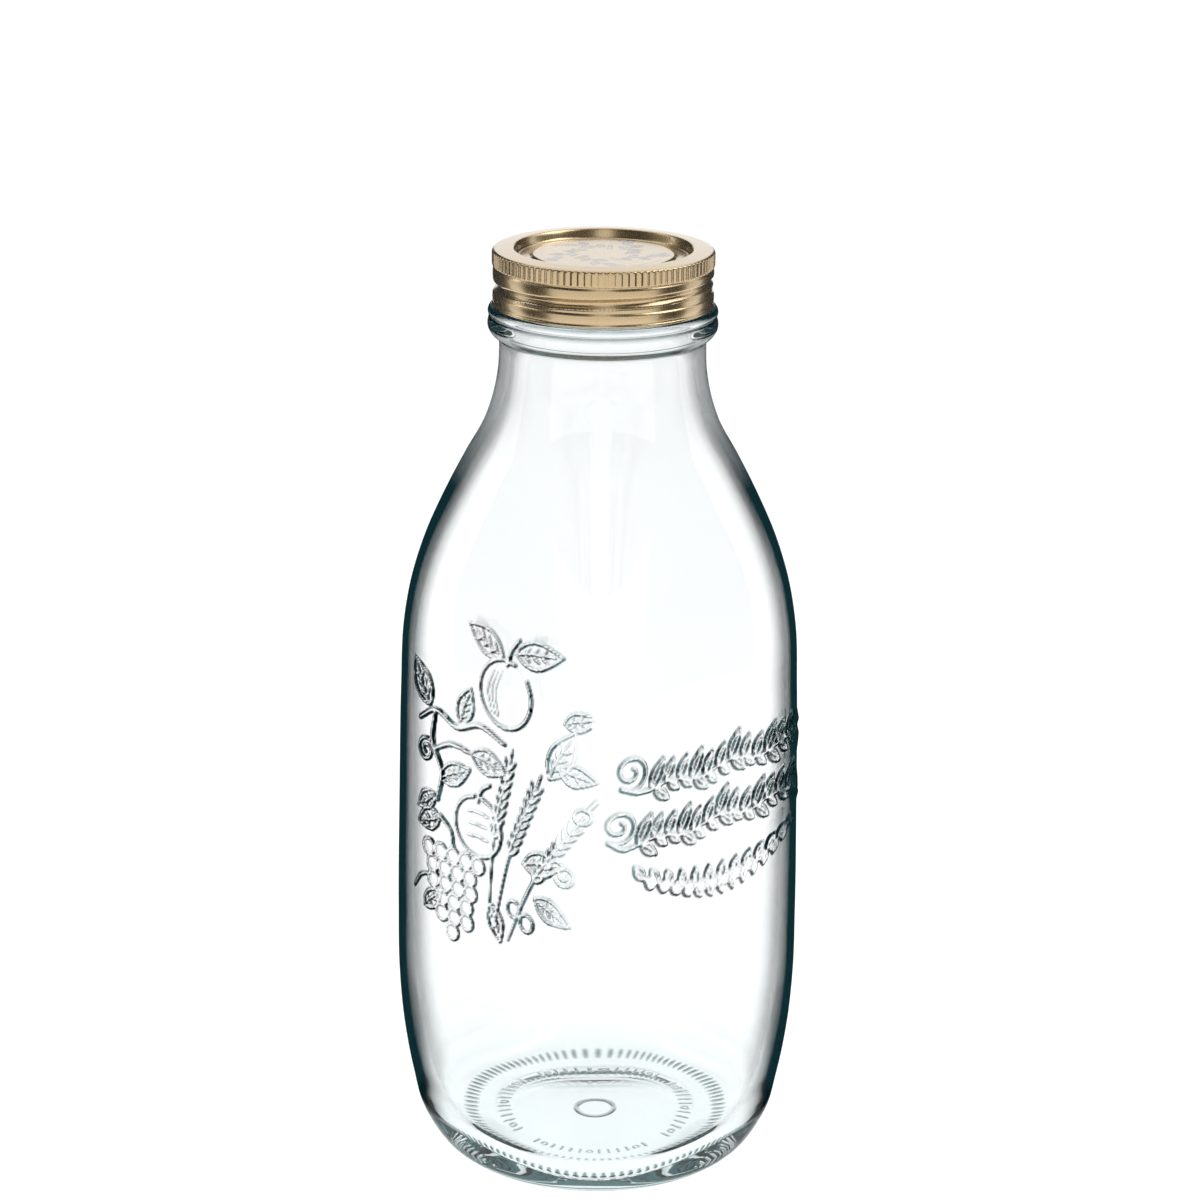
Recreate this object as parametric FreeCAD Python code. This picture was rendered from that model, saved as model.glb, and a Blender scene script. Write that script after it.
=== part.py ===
"""One-litre glass milk bottle with a one-piece metal screw cap and its sealing ring.

Row frame: millimetres, +Z up, origin on the axis at the plane the bottle stands on.  The four
body faces look along -Y (front), +X, +Y and -X, so the body's corners lie on the diagonals.
Three physical pieces, one node each: glass_bottle, screw_cap and sealing_ring.
"""

import FreeCAD
import Part

import math
import os

V = FreeCAD.Vector
UP = V(0, 0, 1)
ORIGIN = V(0, 0, 0)

# ---- overall sizes ---------------------------------------------------------------------------
TOTAL_HEIGHT = 237.0        # standing plane to the crest of the closed cap
CAP_HEIGHT = 14.0           # cap crest to the bottom edge of its skirt
SHEET = 0.30                # metal sheet of the cap, lacquer included
THREAD_PITCH = 4.0          # one right-hand thread start, glass and cap alike

# ---- glass finish (the threaded mouth) -------------------------------------------------------
BORE_RADIUS = 22.2          # inside of the mouth
FINISH_RADIUS = 25.1        # outside of the mouth between the thread turns
GLASS_THREAD_RADIUS = 1.1   # round section of the glass thread, centred on the finish wall
GLASS_THREAD_TURNS = 1.0
RIM_TOP = 235.0             # sealing land
RIM_ROUND = 0.9
FLANGE_RADIUS = 28.2        # the double bead that the cap comes down to
FLANGE_TOP = 222.7
FLANGE_NOTCH = 220.3        # shallow groove between the bead's two lobes
FLANGE_BOTTOM = 215.2

# ---- body: (height, half diagonal, half width across the faces) ------------------------------
# The section at each height is a rounded square; where both halves agree it is a circle.
OUTER_PROFILE = (
    (0.0, 30.6, 30.6),
    (0.7, 35.9, 35.9),
    (3.0, 41.5, 41.0),
    (8.5, 45.4, 42.2),
    (18.0, 47.9, 42.4),
    (30.0, 49.8, 42.2),
    (46.0, 51.3, 42.2),
    (64.0, 51.4, 42.2),
    (95.0, 50.9, 41.8),
    (125.0, 50.2, 41.2),
    (140.0, 49.5, 40.8),
    (152.0, 47.5, 39.8),
    (163.5, 44.0, 37.9),
    (174.5, 39.2, 35.4),
    (185.0, 33.8, 32.0),
    (193.5, 29.1, 28.5),
    (200.5, 26.8, 26.6),
    (207.5, 25.6, 25.6),
    (217.0, 25.4, 25.4),
)
INNER_PROFILE = (
    (6.0, 32.0, 31.5),
    (7.4, 36.4, 34.4),
    (11.0, 40.0, 36.2),
    (18.0, 42.8, 37.4),
    (30.0, 45.2, 38.3),
    (46.0, 46.8, 38.8),
    (64.0, 47.3, 38.9),
    (95.0, 47.3, 38.7),
    (125.0, 47.0, 38.2),
    (140.0, 46.4, 37.8),
    (152.0, 44.5, 36.8),
    (163.5, 41.0, 34.9),
    (174.5, 36.2, 32.4),
    (185.0, 30.8, 29.0),
    (193.5, 26.1, 25.5),
    (200.5, 23.7, 23.5),
    (207.5, 22.6, 22.6),
    (215.0, 22.5, 22.5),
)
SECTION_POINTS = 40         # points that each body section is interpolated through
SECTIONS_PER_SPAN = 2       # body sections between two neighbouring profile heights
PUSH_UP_RADIUS = 26.5       # domed underside, inside the ring the bottle stands on
PUSH_UP_DEPTH = 3.0

# ---- cap -------------------------------------------------------------------------------------
CAP_BOTTOM = TOTAL_HEIGHT - CAP_HEIGHT
SKIRT_RADIUS = 27.0         # outside of the two plain bands
KNURL_RADIUS = 27.2         # tips of the grip's teeth
KNURL_DEPTH = 0.35
KNURL_TEETH = 104
KNURL_LOW = CAP_BOTTOM + 9.7
KNURL_HIGH = CAP_BOTTOM + 13.3
CREST_RADIUS = 22.1         # highest ring of the cap's top
RECESS_RADIUS = 20.9        # foot of the wall inside the crest
RECESS_DEPTH = 2.3
BEAD_RADIUS = 17.9          # rise from the channel to the centre panel
PANEL_RISE = 0.7
THREAD_FRONT_HEIGHT = CAP_BOTTOM + 5.3   # centre of the cap's rolled thread on the -Y side
CAP_THREAD_TURNS = 1.0
CAP_THREAD_START = -200.0   # angle about +Z, in degrees, where the rolled thread begins
ROLLED_OUTSIDE_RADIUS = 1.2  # round section pressed into the outside of the skirt

# ---- sealing ring ----------------------------------------------------------------------------
SEAL_GAP = 0.10             # between the ring and its neighbours, so that nothing overlaps
SEAL_INNER = 22.3
SEAL_OUTER = 26.2


def half_power(diagonal, across):
    """Exponent of the rounded square whose half diagonal and half width are given."""
    return 1.0 / (0.5 - math.log2(diagonal / across))


def section_wire(diagonal, across, height):
    """Closed smooth wire of one body section."""
    power = half_power(diagonal, across)
    points = []
    for k in range(SECTION_POINTS):
        angle = 2 * math.pi * k / SECTION_POINTS
        c, s = math.cos(angle), math.sin(angle)
        reach = across / (abs(c) ** power + abs(s) ** power) ** (1 / power)
        points.append(V(reach * c, reach * s, height))
    curve = Part.BSplineCurve()
    curve.interpolate(Points=points, PeriodicFlag=True)
    return Part.Wire([curve.toShape()])


def body_solid(profile):
    """Solid through the rounded-square sections of a profile."""
    guide = Part.BSplineCurve()
    guide.interpolate(Points=[V(diagonal, across, height) for height, diagonal, across in profile])
    first, last = guide.FirstParameter, guide.LastParameter
    count = SECTIONS_PER_SPAN * (len(profile) - 1)
    wires = []
    for k in range(count + 1):
        at = guide.value(first + (last - first) * k / count)
        wires.append(section_wire(at.x, min(at.y, at.x), at.z))
    return Part.makeLoft(wires, True, False)


def turned(outline):
    """Solid of revolution about Z from (radius, height) points, or (bulge point,) for arcs."""
    edges = []
    start = outline[0]
    k = 1
    points = list(outline) + [outline[0]]
    while k < len(points):
        at = points[k]
        if len(at) == 3:                         # a point that an arc passes through
            end = points[k + 1]
            edges.append(Part.Arc(V(start[0], 0, start[1]), V(at[0], 0, at[1]),
                                  V(end[0], 0, end[1])).toShape())
            start = end
            k += 2
        else:
            edges.append(Part.makeLine(V(start[0], 0, start[1]), V(at[0], 0, at[1])))
            start = at
            k += 1
    face = Part.Face(Part.Wire(edges))
    return face.revolve(ORIGIN, UP, 360)


def helical_rod(path_radius, rod_radius, front_height, first_angle, turns):
    """Round rod along a right-hand helix, with ball ends; front_height is where it passes -Y."""
    start_height = front_height + THREAD_PITCH * (first_angle + 90.0) / 360.0
    helix = Part.makeLongHelix(THREAD_PITCH, THREAD_PITCH * turns, path_radius, 0)
    helix.rotate(ORIGIN, UP, first_angle)
    helix.translate(V(0, 0, start_height))
    spine = Part.Wire(helix.Edges)
    begin = spine.Edges[0].valueAt(spine.Edges[0].FirstParameter)
    tangent = spine.Edges[0].tangentAt(spine.Edges[0].FirstParameter)
    finish = spine.Edges[-1].valueAt(spine.Edges[-1].LastParameter)
    ring = Part.Wire([Part.makeCircle(rod_radius, begin, tangent)])
    rod = spine.makePipeShell([ring], True, True)
    for at in (begin, finish):
        rod = rod.fuse(Part.makeSphere(rod_radius, at))
    return rod


def finish_solid():
    """The mouth: sealing land, threaded wall and double bead, all turned, bored later."""
    land = 1.2                                   # flat width left on the sealing land
    core = BORE_RADIUS - 4.0                     # inside the bore, removed with the cavity
    lip = RIM_ROUND * (1 - math.sqrt(0.5))
    flange_mid = FLANGE_RADIUS - 0.45
    outline = [
        (core, FLANGE_BOTTOM - 1.5),
        (core, RIM_TOP),
        (BORE_RADIUS + land + 0.4, RIM_TOP),
        (FINISH_RADIUS - RIM_ROUND, RIM_TOP),
        (FINISH_RADIUS - lip, RIM_TOP - lip, "arc"),
        (FINISH_RADIUS, RIM_TOP - RIM_ROUND),
        (FINISH_RADIUS, FLANGE_TOP + 0.5),
        (FINISH_RADIUS + 0.5, FLANGE_TOP),
        (FLANGE_RADIUS - 0.7, FLANGE_TOP),
        (FLANGE_RADIUS, FLANGE_TOP - 0.9, "arc"),
        (flange_mid, FLANGE_NOTCH),
        (FLANGE_RADIUS, FLANGE_NOTCH - 2.6, "arc"),
        (FLANGE_RADIUS - 1.6, FLANGE_BOTTOM),
        (FINISH_RADIUS - 0.6, FLANGE_BOTTOM - 1.5),
    ]
    return turned(outline)


def glass_bottle():
    """Body, finish and thread in one piece of glass, hollow and with a domed underside."""
    glass = body_solid(OUTER_PROFILE).fuse(finish_solid())
    half_turn = THREAD_PITCH / 2
    thread = helical_rod(FINISH_RADIUS, GLASS_THREAD_RADIUS, THREAD_FRONT_HEIGHT + half_turn,
                         CAP_THREAD_START - 30.0, GLASS_THREAD_TURNS)
    glass = glass.fuse(thread)
    cavity = body_solid(INNER_PROFILE)
    bore_bottom = INNER_PROFILE[-1][0] - 6.0
    bore = Part.makeCylinder(BORE_RADIUS, RIM_TOP + 5 - bore_bottom, V(0, 0, bore_bottom))
    dome = (PUSH_UP_RADIUS ** 2 + PUSH_UP_DEPTH ** 2) / (2 * PUSH_UP_DEPTH)
    underside = Part.makeSphere(dome, V(0, 0, PUSH_UP_DEPTH - dome))
    return glass.cut(cavity).cut(bore).cut(underside)


def cap_blank():
    """Thin turned shell of the cap before the grip and the thread are rolled in."""
    skirt_in = SKIRT_RADIUS - SHEET
    shoulder = KNURL_HIGH + 0.25
    crest = TOTAL_HEIGHT
    channel = crest - RECESS_DEPTH
    panel = channel + PANEL_RISE
    outline = [
        (0, panel - SHEET),
        (0, panel),
        (BEAD_RADIUS - 0.9, panel),
        (BEAD_RADIUS, channel),
        (RECESS_RADIUS, channel),
        (CREST_RADIUS - 0.55, crest - 0.35),
        (CREST_RADIUS - 0.2, crest - 0.08, "arc"),
        (CREST_RADIUS + 0.5, crest),
        (25.2, crest - 0.28, "arc"),
        (KNURL_RADIUS - 0.35, shoulder),
        (KNURL_RADIUS, KNURL_HIGH - 0.35),
        (KNURL_RADIUS, KNURL_LOW + 0.35),
        (SKIRT_RADIUS - 0.3, KNURL_LOW - 0.1),
        (SKIRT_RADIUS, KNURL_LOW - 0.9),
        (SKIRT_RADIUS, CAP_BOTTOM + 1.4),
        (SKIRT_RADIUS + 0.25, CAP_BOTTOM),
        (skirt_in - 0.15, CAP_BOTTOM),
        (skirt_in, CAP_BOTTOM + 1.4),
        (skirt_in, KNURL_LOW - 0.95),
        (skirt_in - 0.28, KNURL_LOW - 0.15),
        (KNURL_RADIUS - KNURL_DEPTH - SHEET, KNURL_LOW + 0.45),
        (KNURL_RADIUS - KNURL_DEPTH - SHEET, KNURL_HIGH - 0.5),
        (25.1, crest - 0.30 - SHEET),
        (CREST_RADIUS + 0.4, crest - SHEET),
        (CREST_RADIUS - 0.25, crest - 0.45),
        (RECESS_RADIUS + 0.27, channel - SHEET),
        (BEAD_RADIUS - 0.25, channel - SHEET),
        (BEAD_RADIUS - 1.12, panel - SHEET),
    ]
    return turned(outline)


def knurl_notches():
    """Everything outside the toothed outline of the grip, as a ring to cut away."""
    tips = []
    for k in range(KNURL_TEETH):
        for share, radius in ((0.0, KNURL_RADIUS + 0.05), (0.5, KNURL_RADIUS - KNURL_DEPTH)):
            angle = 2 * math.pi * (k + share) / KNURL_TEETH
            tips.append(V(radius * math.cos(angle), radius * math.sin(angle), KNURL_LOW + 0.3))
    toothed = Part.Face(Part.makePolygon(tips + tips[:1]))
    height = KNURL_HIGH - KNURL_LOW - 0.5
    ring = Part.makeCylinder(KNURL_RADIUS + 2, height, V(0, 0, KNURL_LOW + 0.3))
    return ring.cut(toothed.extrude(V(0, 0, height)))


def screw_cap():
    """One-piece metal cap: toothed grip, rolled thread and recessed centre panel."""
    blank = cap_blank()
    inside_radius = ROLLED_OUTSIDE_RADIUS + SHEET
    ridge = helical_rod(SKIRT_RADIUS, inside_radius, THREAD_FRONT_HEIGHT,
                        CAP_THREAD_START, CAP_THREAD_TURNS)
    bar = Part.makeCylinder(SKIRT_RADIUS - SHEET / 2, CAP_HEIGHT, V(0, 0, CAP_BOTTOM - 1))
    ridge = ridge.common(bar)
    groove = helical_rod(SKIRT_RADIUS, ROLLED_OUTSIDE_RADIUS, THREAD_FRONT_HEIGHT,
                         CAP_THREAD_START, CAP_THREAD_TURNS)
    return blank.fuse(ridge).cut(groove).cut(knurl_notches())


def sealing_ring():
    """Soft ring flowed in under the cap's crest, resting on the glass land."""
    low = RIM_TOP + SEAL_GAP
    top = TOTAL_HEIGHT - SHEET - SEAL_GAP
    outline = [
        (SEAL_INNER, low),
        (SEAL_OUTER, low),
        (SEAL_OUTER, low + 0.55),
        (25.0, top - 0.38),
        (CREST_RADIUS + 0.9, top - 0.10),
        (SEAL_INNER + 0.2, top - 0.45),
    ]
    return turned(outline)


def main():
    os.makedirs("parts", exist_ok=True)
    for name, build in (("glass_bottle", glass_bottle), ("screw_cap", screw_cap),
                        ("sealing_ring", sealing_ring)):
        shape = build()
        solids = shape.Solids
        print(name, "valid", shape.isValid(), "solids", len(solids),
              "volume cm3", round(shape.Volume / 1000, 3))
        (solids[0] if len(solids) == 1 else shape).exportStep(f"parts/{name}.step")
    brimful = body_solid(INNER_PROFILE).Volume + math.pi * BORE_RADIUS ** 2 * (
        RIM_TOP - INNER_PROFILE[-1][0])
    print("brimful capacity ml", round(brimful / 1000))


main()
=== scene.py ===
import math

import bpy
import numpy as np
from mathutils import Matrix, Vector


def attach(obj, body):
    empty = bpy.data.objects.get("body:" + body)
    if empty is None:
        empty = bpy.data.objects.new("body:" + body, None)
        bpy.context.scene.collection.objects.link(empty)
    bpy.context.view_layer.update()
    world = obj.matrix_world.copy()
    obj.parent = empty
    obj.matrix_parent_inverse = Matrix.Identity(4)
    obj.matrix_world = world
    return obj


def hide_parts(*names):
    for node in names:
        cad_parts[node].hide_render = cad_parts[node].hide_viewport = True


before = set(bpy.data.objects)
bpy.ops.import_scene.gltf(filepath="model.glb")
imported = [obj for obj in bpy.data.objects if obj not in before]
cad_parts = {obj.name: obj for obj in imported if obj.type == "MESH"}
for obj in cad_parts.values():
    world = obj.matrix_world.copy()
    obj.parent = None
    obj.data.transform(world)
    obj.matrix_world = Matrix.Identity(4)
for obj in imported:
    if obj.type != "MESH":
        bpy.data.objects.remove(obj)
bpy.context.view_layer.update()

MM = 0.001

# ---- the bottle's glass, in millimetres ----
NECK_RADIUS = 25.4
NECK_TOP = 214.2
BORE_RADIUS = 22.2
BORE_BOTTOM = 226.0
FINISH_RADIUS = 25.1
RIM_TOP = 235.0
FLANGE_RADIUS = 28.2
FLANGE_TOP = 222.7
FLANGE_NOTCH = 220.3
FLANGE_BOTTOM = 215.2
PUSH_UP_RADIUS = 26.5
PUSH_UP_DEPTH = 3.0
HEEL_TOP = 10.0
BODY_TOP = 154.0
STIPPLE_TEETH = 96
STIPPLE_DEPTH = 0.25
WALL_RIPPLE = 0.10

# ---- the body's sections: (half diagonal, half width across the faces, height) ----
OUTER_PROFILE = (
    (30.6, 30.6, 0.0), (35.9, 35.9, 0.7), (41.5, 41.0, 3.0), (45.4, 42.2, 8.5), (47.9, 42.4, 18.0),
    (50.0, 42.2, 30.0), (51.3, 42.2, 46.0), (51.4, 42.2, 64.0), (50.9, 41.8, 95.0),
    (50.2, 41.2, 125.0), (49.5, 40.8, 140.0), (47.5, 39.8, 152.0), (44.0, 37.9, 163.5),
    (39.2, 35.4, 174.5), (33.8, 32.0, 185.0), (29.1, 28.5, 193.5), (26.8, 26.6, 200.5),
    (25.6, 25.6, 207.5), (NECK_RADIUS, NECK_RADIUS, NECK_TOP),
)
INNER_PROFILE = (
    (BORE_RADIUS, BORE_RADIUS, BORE_BOTTOM), (22.4, 22.4, 215.0), (22.6, 22.6, 207.5),
    (23.7, 23.5, 200.5), (26.1, 25.5, 193.5), (30.8, 29.0, 185.0), (36.2, 32.4, 174.5),
    (41.0, 34.9, 163.5), (44.5, 36.8, 152.0), (46.4, 37.8, 140.0), (47.0, 38.2, 125.0),
    (47.3, 38.7, 95.0), (47.3, 38.9, 64.0), (46.8, 38.8, 46.0), (45.2, 38.3, 30.0),
    (42.8, 37.4, 18.0), (40.0, 36.2, 11.0), (36.4, 34.4, 7.6), (31.0, 30.6, 6.1), (24.0, 24.0, 6.2),
    (12.0, 12.0, 7.0), (0.0, 0.0, 7.4),
)

# ---- the reliefs: columns either side of the middle of their face, and the heights between them ----
FRUIT_COLUMNS = (-12, 17)
FRUIT_HEIGHTS = (62, 150)
SPRIG_COLUMNS = (-19, 14)
SPRIG_HEIGHTS = (79, 128)

# ---- where the glass counts as round for its painted dark edges: the body's corners, and less on the neck ----
CORNER_START = 0.50
CORNER_BLEND = 0.35
NECK_FADE_START = 178
NECK_FADE_LENGTH = 20
NECK_FADE = 0.42

# ---- the screw thread, in millimetres and degrees: one turn on the glass, one pressed into the cap ----
THREAD_PITCH = 4.0
THREAD_FRONT_HEIGHT = 228.3
THREAD_START = -200.0
THREAD_RUN_OUT = 14.0
GLASS_THREAD_LEAD = 30.0
GLASS_THREAD_HEIGHT = 1.05
GLASS_THREAD_HALF_WIDTH = 1.25
CAP_RIDGE = 1.45
CAP_GROOVE = 1.12

# ---- the cap's flutes, print and ticks ----
KNURL_TEETH = 104
KNURL_DEPTH = 0.34
PRINT_THICKNESS = 0.05
TICKS_AROUND = 170
TICK_GAPS_AROUND = 53
TICKS_MIDDLE = -45
TICKS_REACH = 78

# ---- how finely things are meshed; FINE is how many steps a cell's edge can be cut into ----
GLASS_COLUMNS = 144
CAP_COLUMNS = 2 * KNURL_TEETH
SEAL_COLUMNS = 96
FINE = 12


# ================================ curves and surfaces ================================

def spline(points, samples):
    """Points along a smooth curve through the given points (Hermite, chord-length spaced)."""
    p = np.array(points, float)
    t = np.concatenate([[0], np.cumsum(np.linalg.norm(np.diff(p, axis=0), axis=1))])
    slope = np.diff(p, axis=0) / np.diff(t)[:, None]
    gap = np.diff(t)
    m = np.empty_like(p)
    m[0], m[-1] = slope[0], slope[-1]
    m[1:-1] = (gap[1:, None] * slope[:-1] + gap[:-1, None] * slope[1:]) / (gap[:-1] + gap[1:])[:, None]
    x = np.linspace(0, t[-1], samples)
    k = np.clip(np.searchsorted(t, x, side="right") - 1, 0, len(gap) - 1)
    s = ((x - t[k]) / gap[k])[:, None]
    h = gap[k][:, None]
    return ((2 * s**3 - 3 * s**2 + 1) * p[k] + (s**3 - 2 * s**2 + s) * h * m[k]
            + (3 * s**2 - 2 * s**3) * p[k + 1] + (s**3 - s**2) * h * m[k + 1])


class Path:
    """A profile from one point on the axis to another, built stretch by stretch as rows."""

    def __init__(self):
        self.parts = []
        self.marks = {}
        self.rows = 0

    def add(self, points, rows, name=None):
        """Appends evenly spaced rows along a polyline of many points."""
        p = np.array(points, float)
        if p.shape[1] == 2:
            p = np.column_stack([p[:, 0], p[:, 0], p[:, 1]])
        length = np.concatenate([[0], np.cumsum(np.linalg.norm(np.diff(p, axis=0), axis=1))])
        at = np.linspace(0, length[-1], rows * FINE + 1)
        self.parts.append(np.column_stack([np.interp(at, length, p[:, i]) for i in range(3)])[:-1])
        if name:
            self.marks[name] = (self.rows, self.rows + rows)
        self.rows += rows
        self.last = p[-1:]

    def table(self):
        """Every row as (half diagonal, half width, height), with FINE steps from one row to the next."""
        return np.concatenate(self.parts + [self.last])


def arc(start, middle, end, samples=40):
    """A smooth bulge from start through middle to end, as points (radius, height)."""
    p0, p1, p2 = (np.array(p, float) for p in (start, middle, end))
    control = 2 * p1 - (p0 + p2) / 2
    t = np.linspace(0, 1, samples)[:, None]
    return (1 - t) ** 2 * p0 + 2 * t * (1 - t) * control + t**2 * p2


def between(curve, low, high):
    """The stretch of a (u, h, z) curve between two heights, ends included."""
    z = curve[:, 2]
    rising = z[-1] > z[0]
    inside = (z > min(low, high)) & (z < max(low, high))
    order = slice(None) if rising else slice(None, None, -1)
    ends = [[np.interp(value, z[order], curve[order, i]) for i in range(3)] for value in (low, high)]
    return np.vstack([ends[0], curve[inside], ends[1]])


def section(across, diagonal, angle):
    """Radius of the rounded square with these half widths, at an angle about the axis."""
    across = np.maximum(across, 1e-6)
    power = 1.0 / (0.5 - np.log2(np.maximum(diagonal / across, 1.0)))
    reach = np.abs(np.cos(angle)) ** power + np.abs(np.sin(angle)) ** power
    return across / reach ** (1.0 / power)


def column_angle(column, across, diagonal):
    """Columns crowd towards the corners where the section is square."""
    theta = 2 * math.pi * column / GLASS_COLUMNS
    square = np.clip((diagonal / np.maximum(across, 1e-6) - 1) / 0.2, 0, 1)
    return theta + 0.35 * square * np.sin(4 * theta) / 4


def ring_mesh(name, columns, rows, patches, place):
    """Closed mesh of rows of points around the axis, between two poles.

    patches are (first column, last column, first row, last row, column steps, row steps): inside
    them each cell is cut finer, and the cells beside them carry the extra points on their edges.
    place(columns, rows) gives the points, in millimetres. Returns the mesh and those points.
    """
    fine_columns = columns * FINE
    index, keys = {}, []

    def vertex(a, s):
        key = (a % fine_columns, s)
        if key not in index:
            index[key] = len(keys)
            keys.append(key)
        return index[key]

    covered = np.zeros((columns, rows), bool)
    faces = []
    for c0, c1, r0, r1, column_steps, row_steps in patches:
        for c in range(c0, c1):
            covered[c % columns, r0:r1] = True
        da, ds = FINE // column_steps, FINE // row_steps
        for a in range(c0 * FINE, c1 * FINE, da):
            for s in range(r0 * FINE, r1 * FINE, ds):
                faces.append((vertex(a, s), vertex(a + da, s), vertex(a + da, s + ds), vertex(a, s + ds)))
    for c in range(columns):
        for r in range(1, rows - 1):
            if covered[c, r]:
                continue
            a, s = c * FINE, r * FINE
            walk = ([(a + i, s) for i in range(FINE)]
                    + [(a + FINE, s + i) for i in range(FINE)]
                    + [(a + FINE - i, s + FINE) for i in range(FINE)]
                    + [(a, s + FINE - i) for i in range(FINE)])
            faces.append(tuple(vertex(*w) for k, w in enumerate(walk)
                               if k % FINE == 0 or (w[0] % fine_columns, w[1]) in index))
    for s, pole in ((FINE, 0), ((rows - 1) * FINE, rows * FINE)):
        centre = vertex(0, pole)
        for c in range(columns):
            pair = (vertex(c * FINE, s), vertex((c + 1) * FINE, s))
            faces.append((centre,) + (pair[::-1] if pole == 0 else pair))
    key = np.array(keys, float) / FINE
    points = place(key[:, 0], key[:, 1])
    mesh = bpy.data.meshes.new(name)
    mesh.from_pydata((points * MM).tolist(), [], faces)
    mesh.validate()
    mesh.polygons.foreach_set("use_smooth", [True] * len(mesh.polygons))
    return mesh, points


def vertex_normals(mesh):
    """The normal at each vertex of a mesh, one row each."""
    normals = np.empty(len(mesh.vertices) * 3, np.float32)
    mesh.vertex_normals.foreach_get("vector", normals)
    return normals.reshape(-1, 3)


def make_object(mesh, body, node):
    """Puts a mesh in the scene in place of its CAD node."""
    piece = bpy.data.objects.new(mesh.name, mesh)
    bpy.context.scene.collection.objects.link(piece)
    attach(piece, body)
    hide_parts(node)
    return piece


# ================================ relief drawing ================================

class Relief:
    """Raised lines on a flat face: u runs to the right and v up, in millimetres."""

    def __init__(self, u, v):
        self.u, self.v = u, v
        self.height = np.zeros(len(u))

    def line(self, points, width=1.0, height=0.55, taper=0.0, closed=False):
        """A rounded ridge along a smooth line through the points."""
        points = list(points) + ([points[0]] if closed else [])
        p = spline(points, 14 * (len(points) - 1) + 1) if len(points) > 2 else np.array(points, float)
        low, high = p.min(0) - width, p.max(0) + width
        beside = (self.u > low[0]) & (self.u < high[0])
        near = np.flatnonzero(beside & (self.v > low[1]) & (self.v < high[1]))
        if not len(near):
            return
        q = np.column_stack([self.u[near], self.v[near]])
        best = np.full(len(near), 9.0)
        for k in range(len(p) - 1):
            a, b = p[k], p[k + 1]
            ab = b - a
            t = np.clip(((q - a) @ ab) / max(ab @ ab, 1e-9), 0, 1)
            along = (k + t) / (len(p) - 1)
            half = width / 2 * (1 - taper * np.abs(2 * along - 1) ** 2)
            distance = np.linalg.norm(q - a - t[:, None] * ab, axis=1) / np.maximum(half, 0.05)
            best = np.minimum(best, distance)
        ridge = height * np.clip(1.25 * (1 - best**2), 0, 1) ** 0.7
        self.height[near] = np.maximum(self.height[near], ridge)

    def ring(self, x, y, rx, ry, tilt=0.0, start=0.0, stop=360.0, **style):
        """An ellipse, or the stretch of it between two angles."""
        t = np.radians(np.linspace(start, stop, max(4, int(abs(stop - start) / 24) + 1)))
        c, s = math.cos(math.radians(tilt)), math.sin(math.radians(tilt))
        px, py = rx * np.cos(t), ry * np.sin(t)
        self.line(np.column_stack([x + c * px - s * py, y + s * px + c * py]), **style)

    def dome(self, x, y, rx, ry, height):
        """A low rounded swelling, such as a fruit's flesh."""
        d = ((self.u - x) / rx) ** 2 + ((self.v - y) / ry) ** 2
        self.height = np.maximum(self.height, height * np.sqrt(np.clip(1 - d, 0, 1)))

    def leaf(self, x, y, angle, length, width, veins=3, **style):
        """A pointed leaf from its stalk at (x, y): two edges, a midrib and side veins."""
        c, s = math.cos(math.radians(angle)), math.sin(math.radians(angle))

        def at(along, side):
            return (x + c * along * length - s * side * width, y + s * along * length + c * side * width)

        for side in (-1, 1):
            edge = [at(0, 0), at(0.22, 0.38 * side), at(0.5, 0.5 * side), at(0.78, 0.28 * side), at(1, 0)]
            self.line(edge, width=0.9, taper=0.5, **style)
        self.line([at(0.02, 0), at(0.4, 0.06), at(0.85, 0)], width=0.8, taper=0.6, **style)
        for k in range(veins):
            root = 0.2 + 0.55 * k / max(veins, 1)
            for side in (-1, 1):
                self.line([at(root, 0.04 * side), at(root + 0.13, 0.26 * side)], width=0.7, taper=0.4,
                          height=0.4)

    def spiral(self, x, y, radius, start, turns, **style):
        """A tendril that winds in from its start angle."""
        t = np.linspace(0, 1, int(10 * turns) + 2)
        angle = math.radians(start) + 2 * math.pi * turns * t
        r = radius * (1 - 0.8 * t)
        self.line(np.column_stack([x + r * np.cos(angle), y + r * np.sin(angle)]), taper=0.3, **style)


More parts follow.
